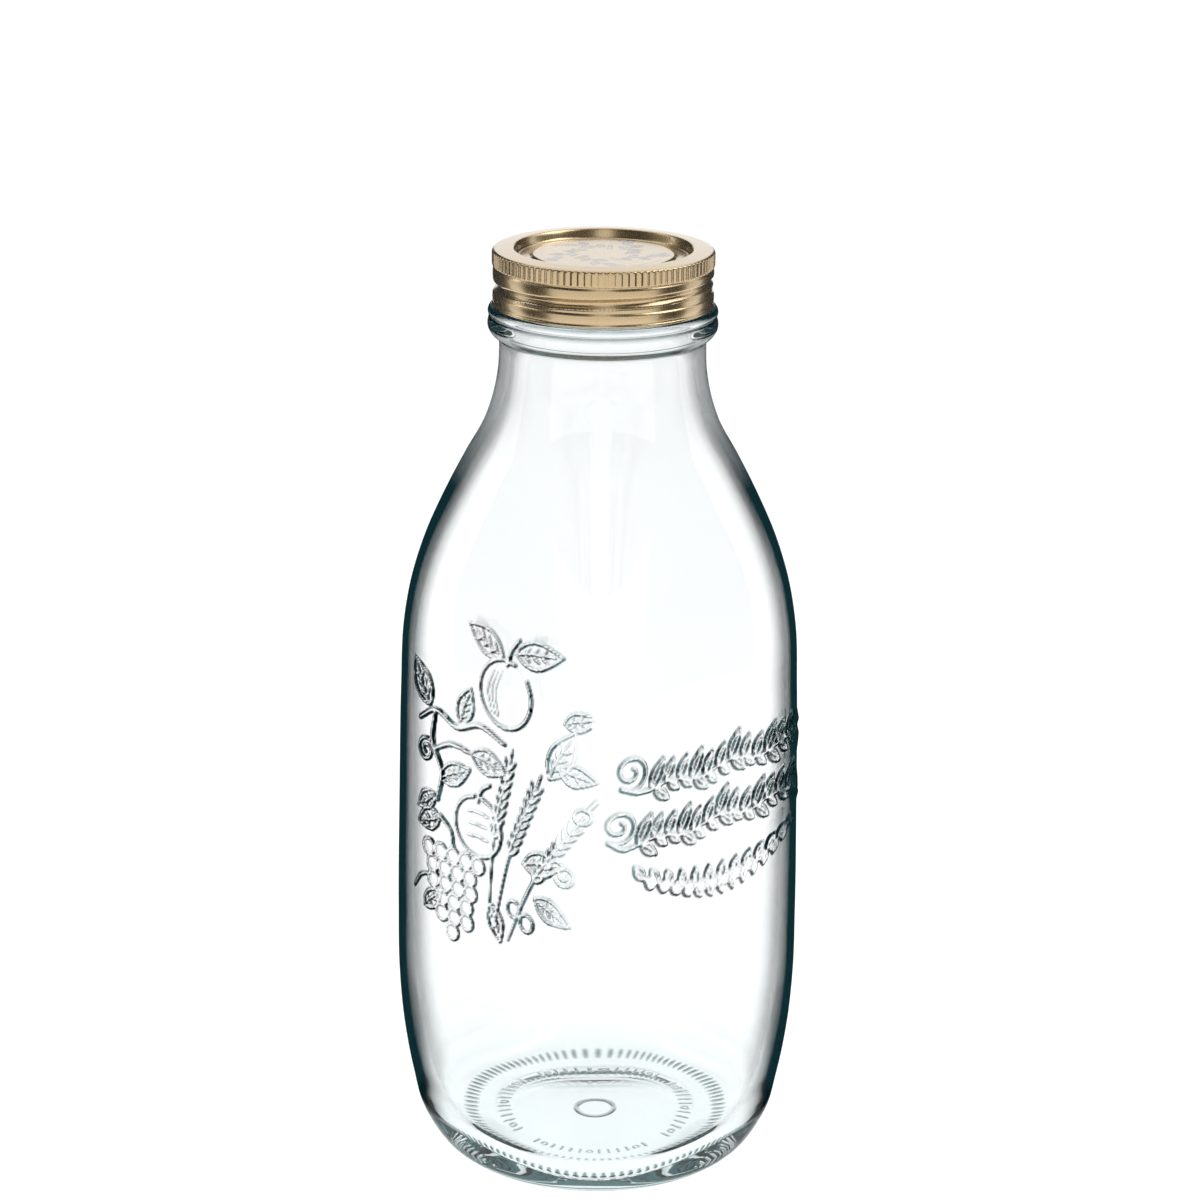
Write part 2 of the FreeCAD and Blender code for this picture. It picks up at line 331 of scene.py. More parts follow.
def draw_fruit(f):
    """Orchard and vineyard fruit among leaves, with ears of wheat."""
    f.dome(9, 134, 8.5, 8.5, 0.30)
    f.ring(9, 134, 8.8, 8.6, start=70, stop=395, width=1.1)
    f.line([(9.5, 141.5), (10.5, 145), (13, 148.5)], width=1.2)
    f.leaf(12, 145, 8, 15, 6.5, veins=3)
    f.leaf(8, 143, 155, 14, 6, veins=3)
    for k in range(3):
        shift = 1.3 * k
        f.line([(4 + shift, 128.5 - 0.4 * k), (3 + shift, 134), (5 + shift, 139.5)], width=0.8, taper=0.6)
    f.line([(-22, 120), (-16, 123.5), (-8, 121), (0, 123.5), (9, 121)], width=1.5, height=0.65, taper=0.3)
    f.line([(-16, 123.3), (-17, 115), (-13.5, 108), (-15, 100)], width=1.5, height=0.65, taper=0.3)
    f.line([(-16.5, 113), (-10, 116), (-3, 115.5)], width=1.4, height=0.65, taper=0.4)
    f.leaf(-18, 124, 120, 13, 6.5)
    f.leaf(-7, 122, 70, 11, 5.5)
    f.leaf(-3, 115.5, -8, 13, 6)
    f.leaf(-14, 106, 25, 12, 5.5)
    f.leaf(-16, 101, 215, 8, 4.5, veins=2)
    f.spiral(-19.5, 112, 3.4, 40, 1.6, width=0.9)
    f.dome(0, 97, 8.0, 7.6, 0.28)
    f.ring(0, 97, 8.2, 7.8, start=100, stop=440, width=1.1)
    f.line([(0, 103.5), (1.2, 107), (4.0, 109)], width=1.1)
    for k in range(3):
        drop = 3.2 * k
        f.line([(-3.8, 100.5 - drop), (0, 100.9 - drop), (3.8, 100.5 - drop)], width=0.8, taper=0.5)
    for row in range(6):
        count = 5 - (row + 1) // 2 if row < 5 else 1
        for k in range(count):
            x = -9 + (k - (count - 1) / 2) * 4.6 + 0.7 * math.sin(5 * row)
            y = 86.5 - 4.1 * row
            f.dome(x, y, 2.0, 2.0, 0.35)
            f.ring(x, y, 2.05, 2.05, width=0.8, height=0.5)
    f.line([(-9, 89), (-10, 93), (-14, 96)], width=1.2)
    f.leaf(-14, 95.5, 200, 9, 5.5, veins=2)
    for root, tip in (((6, 72), (20, 112)), ((11, 70), (31, 104)), ((4, 74), (11, 116))):
        a, b = np.array(root, float), np.array(tip, float)
        way = (b - a) / np.linalg.norm(b - a)
        side = np.array([-way[1], way[0]])
        bend = (a + b) / 2 + 1.8 * side
        f.line([a, bend, b], width=0.9, height=0.5, taper=0.4)
        for k in range(8):
            at = a + (b - a) * (0.52 + 0.065 * k) + 1.6 * side * (1 - k / 8)
            for sign in (-1, 1):
                f.line([at + 0.5 * sign * side, at + 1.9 * sign * side + 2.6 * way], width=1.15, taper=0.5)
        f.line([b, b + 4.5 * way], width=0.7)
    f.leaf(24, 116, 62, 15, 6.5)
    f.leaf(28, 131, 15, 8, 4.5, veins=2)
    f.leaf(27, 119, -12, 9, 5, veins=2)
    f.ring(33, 108, 1.9, 1.9, width=0.8)
    f.line([(34, 109.6), (35.6, 112)], width=1.2)
    f.leaf(16, 92, 12, 13, 6)
    f.leaf(20, 84, -25, 12, 5.5)
    f.leaf(5, 78, -70, 10, 5, veins=2)
    f.ring(13, 79, 2.2, 2.2, width=0.8)
    f.ring(17.5, 76.5, 2.2, 2.2, width=0.8)
    f.spiral(29, 92, 3.0, 200, 1.5, width=0.8)
    f.line([(-24, 74), (-21, 78), (-17, 79.5)], width=0.9, taper=0.4)
    f.leaf(-20, 70, 40, 9, 4.5, veins=2)


def sprig_row(f, start, stop, level, size):
    """A wavy stem with pointed leaves that slant the same way, in turn above and below it."""
    steps = int((stop - start) / 4.4)
    stem = [(start + (stop - start) * k / steps, level + 0.9 * math.sin(1.3 * k)) for k in range(steps + 1)]
    f.line(stem, width=1.2, height=0.55, taper=0.3)
    for k in range(steps + 1):
        x, y = stem[k]
        length = size * (0.85 + 0.15 * math.cos(2.1 * k))
        f.leaf(x, y, 60, length, 0.36 * length, veins=0, height=0.6)
        f.leaf(x + 1.0, y, -38, 0.72 * length, 0.26 * length, veins=0, height=0.6)


def draw_sprigs(f):
    """Two leafy sprigs that end in tendrils, over a hanging garland of leaves and berries."""
    sprig_row(f, -23.0, 31.0, 113.5, 8.6)
    sprig_row(f, -27.0, 31.0, 100.0, 8.6)
    f.line([(-23, 113.5), (-27, 113.5), (-31, 115.0)], width=1.2, height=0.55)
    f.spiral(-28.6, 119.0, 5.0, 240, 1.5, width=1.1, height=0.55)
    f.line([(-27, 100.0), (-31, 99.5), (-34, 101.5)], width=1.2, height=0.55)
    f.spiral(-31.6, 105.5, 4.6, 240, 1.5, width=1.1, height=0.55)
    for k in range(25):
        t = (k - 12) / 12
        x, y = 1.0 + 26.0 * t, 83.5 + 7.0 * t * t
        if k % 2:
            f.dome(x, y - 0.2, 1.5, 1.5, 0.4)
            f.ring(x, y - 0.2, 1.5, 1.5, width=0.8, height=0.5)
        else:
            f.leaf(x, y, 75 - 50 * t, 5.0, 2.2, veins=0, height=0.5)
            f.leaf(x, y, 105 - 50 * t + 180, 4.2, 1.9, veins=0, height=0.5)


def draw_mould_marks(f):
    """A broken ring of short bars and small rings under the base, and a small ring in its middle."""
    for k in range(60):
        c, s = math.cos(math.radians(6 * k)), math.sin(math.radians(6 * k))
        if k % 15 in (0, 14):
            continue
        if k % 5 == 2:
            f.ring(24 * c, 24 * s, 0.75, 0.75, width=0.7, height=0.3)
        else:
            f.line([(22.8 * c, 22.8 * s), (25.2 * c, 25.2 * s)], width=0.8, height=0.3)
    f.ring(0, 0, 4.2, 4.2, width=1.0, height=0.3)


# ================================ the bottle ================================

def bottle_path():
    """The whole section of the glass, from the middle of the underside to the middle inside."""
    outer = spline(OUTER_PROFILE, 4000)
    inner = spline(INNER_PROFILE, 4000)
    path = Path()
    dome_radius = (PUSH_UP_RADIUS**2 + PUSH_UP_DEPTH**2) / (2 * PUSH_UP_DEPTH)
    r = np.linspace(0, PUSH_UP_RADIUS, 60)
    path.add(np.column_stack([r, PUSH_UP_DEPTH - dome_radius + np.sqrt(dome_radius**2 - r**2)]), 14, "dome")
    path.add([(PUSH_UP_RADIUS, 0), (outer[0, 0], 0)], 3)
    path.add(between(outer, 0.0, 0.9), 4, "stipple")
    path.add(between(outer, 0.9, HEEL_TOP), 9)
    path.add(between(outer, HEEL_TOP, BODY_TOP), 65, "body")
    path.add(between(outer, BODY_TOP, NECK_TOP), 30)
    notch = FLANGE_RADIUS - 0.45
    path.add(arc((NECK_RADIUS, NECK_TOP), (25.7, 215.0), (26.6, FLANGE_BOTTOM + 0.2)), 3)
    path.add(arc((26.6, FLANGE_BOTTOM + 0.2), (FLANGE_RADIUS, 217.6), (notch, FLANGE_NOTCH)), 11)
    path.add(arc((notch, FLANGE_NOTCH), (FLANGE_RADIUS, 221.5), (27.5, FLANGE_TOP)), 6)
    path.add(arc((27.5, FLANGE_TOP), (25.6, FLANGE_TOP + 0.15), (FINISH_RADIUS, FLANGE_TOP + 0.9)), 5)
    path.add([(FINISH_RADIUS, FLANGE_TOP + 0.9), (FINISH_RADIUS, RIM_TOP - 0.9)], 30, "thread")
    path.add(arc((FINISH_RADIUS, RIM_TOP - 0.9), (FINISH_RADIUS - 0.26, RIM_TOP - 0.26),
                 (FINISH_RADIUS - 0.9, RIM_TOP)), 3)
    path.add([(FINISH_RADIUS - 0.9, RIM_TOP), (BORE_RADIUS + 0.6, RIM_TOP)], 1)
    path.add(arc((BORE_RADIUS + 0.6, RIM_TOP), (BORE_RADIUS + 0.17, RIM_TOP - 0.17),
                 (BORE_RADIUS, RIM_TOP - 0.6)), 2)
    path.add([(BORE_RADIUS, RIM_TOP - 0.6), (BORE_RADIUS, BORE_BOTTOM)], 4)
    path.add(inner, 84, "inside")
    return path


def thread_height(angle, z, start, front_height):
    """Distance above the middle of a thread of one turn, and how whole the thread is there."""
    degrees = np.degrees(angle)
    best = np.full(len(z), 99.0)
    whole = np.zeros(len(z))
    for lap in range(-2, 2):
        along = degrees + 360.0 * lap
        rise = z - (front_height + THREAD_PITCH * (along + 90.0) / 360.0)
        share = np.clip(np.minimum(along - start, start + 360.0 - along) / THREAD_RUN_OUT, 0, 1)
        better = (np.abs(rise) < np.abs(best)) & (share > 0)
        best = np.where(better, rise, best)
        whole = np.where(better, share, whole)
    return best, whole


class Glass:
    """The bottle's surface: where its points lie, and what its material has to know about each."""

    def __init__(self):
        self.path = bottle_path()
        self.table = self.path.table()
        self.shades = []
        self.reliefs = []

    def body_row(self, z):
        """The row of the body that is nearest to a height."""
        rows = np.arange(*self.path.marks["body"])
        return int(rows[np.argmin(np.abs(self.table[rows * FINE, 2] - z))])

    def patches(self):
        """The finely meshed places: both reliefs, the foot's notches and the marks under the base."""
        front = 3 * GLASS_COLUMNS // 4
        fruit = [front + column for column in FRUIT_COLUMNS] + [self.body_row(z) for z in FRUIT_HEIGHTS]
        sprigs = [*SPRIG_COLUMNS] + [self.body_row(z) for z in SPRIG_HEIGHTS]
        dome_last = self.path.marks["dome"][1]
        foot_first, foot_last = self.path.marks["stipple"]
        return [
            (*fruit, 6, 6),
            (*sprigs, 6, 6),
            (0, GLASS_COLUMNS, foot_first, foot_last, 6, 2),
            (0, GLASS_COLUMNS, dome_last - 3, dome_last, 4, 4),
            (0, GLASS_COLUMNS, 1, 4, 1, 4),
        ]

    def place(self, column, row):
        """The points of the glass without its two reliefs, which come after the first mesh."""
        at = np.round(row * FINE).astype(int)
        diagonal, across, z = (self.table[at, i].copy() for i in range(3))
        angle = column_angle(column, across, diagonal)
        radius = section(across, diagonal, angle)
        self.add_thread(radius, angle, z, row)
        self.add_ripples(radius, angle, z, row)
        self.add_notches(z, column, row)
        self.add_mould_marks(z, radius, angle, row)
        points = np.column_stack([radius * np.cos(angle), radius * np.sin(angle), z])
        self.draw_reliefs(points, row)
        self.inside = row >= self.path.marks["inside"][0]
        square = np.clip((diagonal / np.maximum(across, 1e-6) - 1) / 0.12, 0, 1)
        corner = np.clip((np.abs(np.sin(2 * angle)) - CORNER_START) / CORNER_BLEND, 0, 1)
        neck = np.clip((z - NECK_FADE_START) / NECK_FADE_LENGTH, 0, 1)
        self.rounded = (1 - square * (1 - corner)) * (1 - NECK_FADE * neck)
        return points

    def add_thread(self, radius, angle, z, row):
        first, last = self.path.marks["thread"]
        on = (row > first) & (row < last)
        lift, whole = thread_height(angle[on], z[on], THREAD_START - GLASS_THREAD_LEAD,
                                    THREAD_FRONT_HEIGHT + THREAD_PITCH / 2)
        swell = np.clip(1 - (lift / GLASS_THREAD_HALF_WIDTH) ** 2, 0, 1) ** 0.75
        radius[on] += GLASS_THREAD_HEIGHT * whole * swell

    def add_ripples(self, radius, angle, z, row):
        """Makes the inner wall slightly uneven, as pressed and blown glass is."""
        first, last = self.path.marks["inside"]
        wall = np.clip((row - first - 6) / 20, 0, 1) * np.clip((last - 20 - row) / 10, 0, 1)
        wave = (np.sin(3 * angle + z / 17.0) + 0.7 * np.sin(5 * angle - z / 11.0 + 1.3)
                + 0.6 * np.sin(2 * angle + z / 7.3 + 0.4))
        radius += WALL_RIPPLE * wall * wave

    def add_notches(self, z, column, row):
        """Cuts the ring of small notches round the foot, and paints shade on them so that they look dark
        through the glass.
        """
        first, last = self.path.marks["stipple"]
        on = (row > first) & (row < last)
        swell = np.sin(math.pi * (row[on] - first) / (last - first))
        turn = 2 * math.pi * STIPPLE_TEETH * column[on] / GLASS_COLUMNS
        z[on] += STIPPLE_DEPTH * (0.5 + 0.5 * np.cos(turn)) * swell
        self.shades.append((on, 0.9 * swell**0.5 * (0.5 + 0.5 * np.cos(turn)) ** 2))

    def add_mould_marks(self, z, radius, angle, row):
        on = row < self.path.marks["dome"][1]
        marks = Relief(radius[on] * np.cos(angle[on]), radius[on] * np.sin(angle[on]))
        draw_mould_marks(marks)
        z[on] -= marks.height
        # Painted shade: the marks are darkened in proportion to their height.
        self.shades.append((on, 2.2 * marks.height))

    def draw_reliefs(self, points, row):
        """Keeps each face's relief as (points it is on, axis it rises along, heights)."""
        x, y, z = points.T
        outside = row <= self.path.marks["body"][1]
        left = outside & (y < -30) & (np.abs(x) < 40) & (z > 60) & (z < 152)
        fruit = Relief(x[left], z[left])
        draw_fruit(fruit)
        right = outside & (x > 26) & (y > -43) & (y < 36) & (z > 77) & (z < 130)
        sprigs = Relief(y[right], z[right])
        draw_sprigs(sprigs)
        self.reliefs = [(left, 1, -fruit.height), (right, 0, sprigs.height)]

    def painted_shade(self, points, slope):
        """How dark each point is, all of it painted shade: the relief's steep sides, the notches, the marks
        and the bead's lines.
        """
        painted_shade = np.zeros(len(slope))
        # Painted shade on the relief: steep sides darken, most on the sides turned one way and downward.
        for (on, axis, _), toward in zip(self.reliefs, (1.0, -1.0)):
            across, along = slope[on, 1 - axis], slope[on, 2]
            steep = np.hypot(across, along)
            facing = (toward * across - 0.6 * along) / np.maximum(steep, 1e-6)
            painted_shade[on] = np.clip((steep - 0.10) / 0.32, 0, 1) * np.clip(0.6 + 0.6 * facing, 0.15, 1)
        for on, shade in self.shades:
            painted_shade[on] = np.maximum(painted_shade[on], shade)
        x, y, z = points.T
        # Painted dark lines round the bead, at its top rim and in its notch, standing for the dark
        # refraction there.
        bead = ~self.inside & (np.hypot(x, y) > FINISH_RADIUS + 1.4) & (z > FLANGE_BOTTOM)
        for height, shade in ((FLANGE_TOP - 0.35, 0.5), (FLANGE_NOTCH, 0.6)):
            painted_shade += bead * shade * np.exp(-(((z - height) / 0.45) ** 2))
        return painted_shade

    def wall(self, points, normals):
        """How far each point may take the painted dark edge at a slant: less inside, and not at all under
        the heel.
        """
        level = np.clip((np.abs(normals[:, 2]) - 0.35) / 0.3, 0, 1)
        heel = ~self.inside & (points[:, 2] < 12)
        downward = np.clip((-normals[:, 2] - 0.15) / 0.3, 0, 1)
        return 1 - self.inside * (0.7 + 0.3 * level) - heel * downward


def build_bottle():
    glass = Glass()
    mesh, points = ring_mesh("bottle_glass", GLASS_COLUMNS, glass.path.rows, glass.patches(), glass.place)
    smooth = vertex_normals(mesh)
    for on, axis, lift in glass.reliefs:
        points[on, axis] += lift
    mesh.vertices.foreach_set("co", (points * MM).astype(np.float32).ravel())
    mesh.update()
    slope = vertex_normals(mesh) - smooth
    weights = (("painted_shade", glass.painted_shade(points, slope)), ("rounded", glass.rounded),
               ("wall", glass.wall(points, smooth)))
    for name, values in weights:
        mesh.attributes.new(name, "FLOAT", "POINT").data.foreach_set("value", values.astype(np.float32))
    return make_object(mesh, "bottle", "glass_bottle")


# ================================ the cap ================================

def cap_path():
    """The cap's sheet, from the middle of its underside, down inside, and up outside to the top."""
    path = Path()
    path.add([(0, 235.10), (16.8, 235.10)], 6)
    path.add(arc((16.8, 235.10), (17.3, 234.82), (17.7, 234.40)), 3)
    path.add([(17.7, 234.40), (21.1, 234.40)], 2)
    path.add([(21.1, 234.40), (21.75, 236.40)], 3)
    path.add(arc((21.75, 236.40), (22.0, 236.66), (22.6, 236.70)), 2)
    path.add([(22.6, 236.70), (25.4, 236.42)], 2)
    path.add(arc((25.4, 236.42), (26.3, 236.15), (26.5, 235.6)), 3)
    path.add([(26.5, 235.6), (26.5, 233.2)], 2)
    path.add(arc((26.5, 233.2), (26.42, 232.6), (26.68, 232.0)), 2)
    path.add([(26.68, 232.0), (26.7, 224.3)], 22, "ridge")
    path.add(arc((26.7, 224.3), (26.72, 223.6), (26.9, 223.12)), 2)
    path.add(arc((26.9, 223.12), (27.22, 223.05), (27.26, 223.40)), 3)
    path.add(arc((27.26, 223.40), (27.2, 223.62), (26.98, 223.75)), 2)
    path.add(arc((26.98, 223.75), (27.14, 225.0), (26.98, 226.15)), 7, "groove_low")
    path.add(arc((26.98, 226.15), (26.70, 226.36), (26.62, 226.6)), 2)
    path.add([(26.62, 226.6), (26.60, 227.75)], 4, "ledge")
    path.add(arc((26.60, 227.75), (26.75, 228.2), (26.92, 228.9)), 3)
    path.add(arc((26.92, 228.9), (27.10, 230.7), (26.9, 232.15)), 10)
    path.add(arc((26.9, 232.15), (26.62, 232.5), (26.82, 232.75)), 3, "groove_high")
    path.add(arc((26.82, 232.75), (27.1, 232.85), (27.2, 233.1)), 2, "teeth_low")
    path.add([(27.2, 233.1), (27.2, 235.75)], 6)
    path.add(arc((27.2, 235.75), (27.12, 236.2), (26.8, 236.50)), 3, "teeth_high")
    path.add(arc((26.8, 236.50), (26.3, 236.66), (25.6, 236.74)), 3)
    path.add([(25.6, 236.74), (22.7, 236.99)], 4)
    path.add(arc((22.7, 236.99), (22.1, 236.93), (21.75, 236.55)), 4)
    path.add(arc((21.75, 236.55), (21.35, 235.6), (21.1, 234.95)), 4)
    path.add(arc((21.1, 234.95), (20.9, 234.72), (20.5, 234.70)), 2)
    path.add([(20.5, 234.70), (18.3, 234.70)], 3)
    path.add(arc((18.3, 234.70), (17.75, 234.85), (17.35, 235.2)), 3)
    path.add(arc((17.35, 235.2), (17.1, 235.38), (16.6, 235.40)), 3)
    path.add([(16.6, 235.40), (1.2, 235.42)], 15, "panel")
    path.add([(1.2, 235.42), (0, 235.42)], 2)
    return path


def draw_panel(f):
    """Printed sprays of leaves around the middle of the cap."""
    for k in range(5):
        turn = 72.0 * k + 20
        c, s = math.cos(math.radians(turn)), math.sin(math.radians(turn))

        def at(r, side):
            return (r * c - side * s, r * s + side * c)

        stem = [at(5.2, -3.2), at(8.6, -1.2), at(11.2, 1.6), at(12.6, 5.2)]
        f.line(stem, width=0.5, height=1.0, taper=0.4)
        for r, side, lean, size in ((7.6, -1.8, 40, 4.0), (9.4, -0.4, -52, 3.8), (11.0, 1.4, 18, 3.8),
                                    (12.2, 4.0, -30, 3.4), (6.2, -2.7, -70, 3.2)):
            x, y = at(r, side)
            f.leaf(x, y, turn + lean + 45, size, 1.9, veins=1, height=1.0)
        x, y = at(13.4, 5.6)
        f.spiral(x, y, 1.5, turn, 1.3, width=0.45, height=1.0)
        for spot in range(3):
            x, y = at(5.0 + 1.1 * spot, 2.6 + 0.9 * spot)
            f.ring(x, y, 0.55, 0.55, width=0.4, height=1.0)
    f.ring(0, 0, 15.4, 15.4, width=0.35, height=1.0)


class Cap:
    """The cap's surface: where its points lie, and which of them are printed."""

    def __init__(self):
        self.path = cap_path()
        self.table = self.path.table()

    def patches(self):
        """The finely meshed places: the ledge with its ticks, the flutes and the printed panel."""
        marks = self.path.marks
        return [
            (0, CAP_COLUMNS, *marks["ledge"], 4, 1),
            (0, CAP_COLUMNS, marks["teeth_low"][0], marks["teeth_high"][1], 3, 1),
            (0, CAP_COLUMNS, *marks["panel"], 3, 3),
        ]

    def place(self, column, row):
        at = np.round(row * FINE).astype(int)
        radius, z = self.table[at, 0].copy(), self.table[at, 2].copy()
        angle = 2 * math.pi * column / CAP_COLUMNS
        self.add_thread(radius, angle, z, row)
        self.add_flutes(radius, angle, row)
        self.printed = np.zeros(len(z))
        x, y = radius * np.cos(angle), radius * np.sin(angle)
        self.print_panel(x, y, z, row)
        self.print_ticks(angle, row)
        return np.column_stack([x, y, z])

    def add_thread(self, radius, angle, z, row):
        """Presses the thread in: a groove outside, and the ridge that it makes inside."""
        marks = self.path.marks
        inside = (row > marks["ridge"][0]) & (row < marks["ridge"][1])
        outside = (row > marks["groove_low"][0]) & (row < marks["groove_high"][1])
        for on, depth in ((inside, CAP_RIDGE), (outside, CAP_GROOVE)):
            lift, whole = thread_height(angle[on], z[on], THREAD_START, THREAD_FRONT_HEIGHT)
            radius[on] -= whole * depth * np.clip(1 - (lift / depth) ** 2, 0, 1) ** 0.8

    def add_flutes(self, radius, angle, row):
        low, high = self.path.marks["teeth_low"][0], self.path.marks["teeth_high"][1]
        on = (row > low) & (row < high)
        share = np.clip(np.minimum(row[on] - low, high - row[on]) / 2.0, 0, 1)
        flute = 0.5 + 0.5 * np.cos(KNURL_TEETH * angle[on])
        radius[on] -= KNURL_DEPTH * share * flute**0.8

    def print_panel(self, x, y, z, row):
        first, last = self.path.marks["panel"]
        on = (row >= first) & (row <= last)
        drawing = Relief(x[on], y[on])
        draw_panel(drawing)
        self.printed[on] = drawing.height
        z[on] += PRINT_THICKNESS * drawing.height

    def print_ticks(self, angle, row):
        """Short uneven ticks along the front of the ledge."""
        first, last = self.path.marks["ledge"]
        on = (row > first) & (row < last)
        off_middle = np.abs((np.degrees(angle[on]) - TICKS_MIDDLE + 180) % 360 - 180)
        tick = np.cos(TICKS_AROUND * angle[on]) + 0.5 * np.sin(TICK_GAPS_AROUND * angle[on]) > 0.45
        self.printed[on] = np.where((off_middle < TICKS_REACH) & tick, 1.0, 0.0)


def build_cap():
    cap = Cap()
    mesh, _ = ring_mesh("cap_metal", CAP_COLUMNS, cap.path.rows, cap.patches(), cap.place)
    printed = mesh.attributes.new("print", "FLOAT", "POINT")
    printed.data.foreach_set("value", cap.printed.astype(np.float32))
    return make_object(mesh, "cap", "screw_cap")


# ================================ the sealing ring ================================

def build_seal():
    """A soft ring with a rounded top, which lies just above the glass land, inside the cap's edge."""
    outline = np.vstack([
        [(22.35, 235.10), (26.1, 235.10)],
        arc((26.1, 235.10), (26.2, 235.3), (26.15, 235.6), 6)[1:],
        arc((26.15, 235.6), (25.6, 236.15), (24.4, 236.35), 9)[1:],
        arc((24.4, 236.35), (23.0, 236.5), (22.5, 236.1), 8)[1:],
        arc((22.5, 236.1), (22.25, 235.6), (22.35, 235.10), 6)[1:-1],
    ])
    n = len(outline)
    points, faces = [], []
    for k in range(SEAL_COLUMNS):
        angle = 2 * math.pi * k / SEAL_COLUMNS
        points += [(r * math.cos(angle) * MM, r * math.sin(angle) * MM, z * MM) for r, z in outline]
        here, after = k * n, (k + 1) % SEAL_COLUMNS * n
        faces += [(here + i, after + i, after + (i + 1) % n, here + (i + 1) % n) for i in range(n)]
    mesh = bpy.data.meshes.new("seal_ring")
    mesh.from_pydata(points, [], faces)
    mesh.polygons.foreach_set("use_smooth", [True] * len(mesh.polygons))
    return make_object(mesh, "seal", "sealing_ring")


# ================================ materials ================================

def material(name):
    """A new material, its node tree and its shader."""
    m = bpy.data.materials.new(name)
    m.use_nodes = True
    tree = m.node_tree
    shader = tree.nodes["Principled BSDF"]
    return m, tree, shader


def grey(value):
    return (value, value, value)


def ramp(tree, source, stops):
    """A colour ramp driven by a socket; stops are (position, colour)."""
    node = tree.nodes.new("ShaderNodeValToRGB")
    elements = node.color_ramp.elements
    for k, (position, colour) in enumerate(stops):
        element = elements[k] if k < 2 else elements.new(position)
        element.position = position
        element.color = (*colour, 1)
    tree.links.new(source, node.inputs["Fac"])
    return node.outputs["Color"]


def noise(tree, scale, detail=3.0, roughness=0.5):
    """Object-space noise, so that it stays with the piece."""
    place = tree.nodes.new("ShaderNodeTexCoord")
    node = tree.nodes.new("ShaderNodeTexNoise")
    node.inputs["Scale"].default_value = scale
    node.inputs["Detail"].default_value = detail
    node.inputs["Roughness"].default_value = roughness
    tree.links.new(place.outputs["Object"], node.inputs["Vector"])
    return node


def attribute(tree, name):
    """A value that the mesh stores at each point."""
    node = tree.nodes.new("ShaderNodeAttribute")
    node.attribute_name = name
    return node.outputs["Fac"]


def joined(tree, operation, first, second):
    """Two values put together by a Math operation, kept between 0 and 1."""
    node = tree.nodes.new("ShaderNodeMath")
    node.operation = operation
    node.use_clamp = True
    tree.links.new(first, node.inputs[0])
    tree.links.new(second, node.inputs[1])
    return node.outputs["Value"]


def mix_shaders(tree, share, first, second):
    """The first shader where share is 0 and the second where it is 1."""
    node = tree.nodes.new("ShaderNodeMixShader")
    tree.links.new(share, node.inputs["Fac"])
    tree.links.new(first, node.inputs[1])
    tree.links.new(second, node.inputs[2])
    return node.outputs["Shader"]


def roughen(tree, shader, texture, strength):
    """A bump of a tenth of a millimetre at most from a texture."""
    bump = tree.nodes.new("ShaderNodeBump")
    bump.inputs["Strength"].default_value = strength
    bump.inputs["Distance"].default_value = 0.0001
    tree.links.new(texture.outputs["Fac"], bump.inputs["Height"])
    tree.links.new(bump.outputs["Normal"], shader.inputs["Normal"])


def glass_material():
    """Colourless glass that turns a dark blue-green where it is seen along the wall, partly the real tint
    of the longer path and partly painted shade, and where painted shade is stored on the mesh: the relief's
    steep sides, the notches, the marks and the bead's lines.

    Shadow and diffuse rays pass straight through it, so the floor under it stays pale.
    """
    m, tree, shader = material("clear_glass")
    shader.inputs["Base Color"].default_value = (0.935, 0.94, 0.942, 1)
    shader.inputs["Transmission Weight"].default_value = 1.0
    shader.inputs["IOR"].default_value = 1.51
    smudge = noise(tree, 60.0, 4.0)
    gloss = ramp(tree, smudge.outputs["Fac"], ((0.45, grey(0.0)), (0.85, grey(0.06))))
    tree.links.new(gloss, shader.inputs["Roughness"])
    absorb = tree.nodes.new("ShaderNodeVolumeAbsorption")
    absorb.inputs["Color"].default_value = (0.62, 0.82, 0.82, 1)
    absorb.inputs["Density"].default_value = 9.0
    output = tree.nodes["Material Output"]
    tree.links.new(absorb.outputs["Volume"], output.inputs["Volume"])
    # Painted dark edges: the dark blue-green is mixed in by how slant the glass is seen, more on the round
    # parts, and the painted shade stored on the mesh adds to it.
    weight = tree.nodes.new("ShaderNodeLayerWeight")
    weight.inputs["Blend"].default_value = 0.5
    facing = weight.outputs["Facing"]
    bend = ramp(tree, facing, ((0.40, grey(0.0)), (0.51, grey(0.70)), (0.62, grey(1.0))))
    flat = ramp(tree, facing, ((0.78, grey(0.0)), (0.95, grey(1.0))))
    edge = joined(tree, "MAXIMUM", joined(tree, "MULTIPLY", bend, attribute(tree, "rounded")), flat)
    edge = joined(tree, "MULTIPLY", edge, attribute(tree, "wall"))
    dark = joined(tree, "ADD", edge, attribute(tree, "painted_shade"))
    painted_dark_teal = tree.nodes.new("ShaderNodeBsdfTransparent")
    painted_dark_teal.inputs["Color"].default_value = (0.065, 0.145, 0.16, 1)
    body = mix_shaders(tree, dark, shader.outputs["BSDF"], painted_dark_teal.outputs["BSDF"])
    lamps = tree.nodes.new("ShaderNodeLightPath")
    soft = joined(tree, "MAXIMUM", lamps.outputs["Is Shadow Ray"], lamps.outputs["Is Diffuse Ray"])
    clear = tree.nodes.new("ShaderNodeBsdfTransparent")
    clear.inputs["Color"].default_value = (0.97, 0.98, 0.98, 1)
    tree.links.new(mix_shaders(tree, soft, body, clear.outputs["BSDF"]), output.inputs["Surface"])
    return m


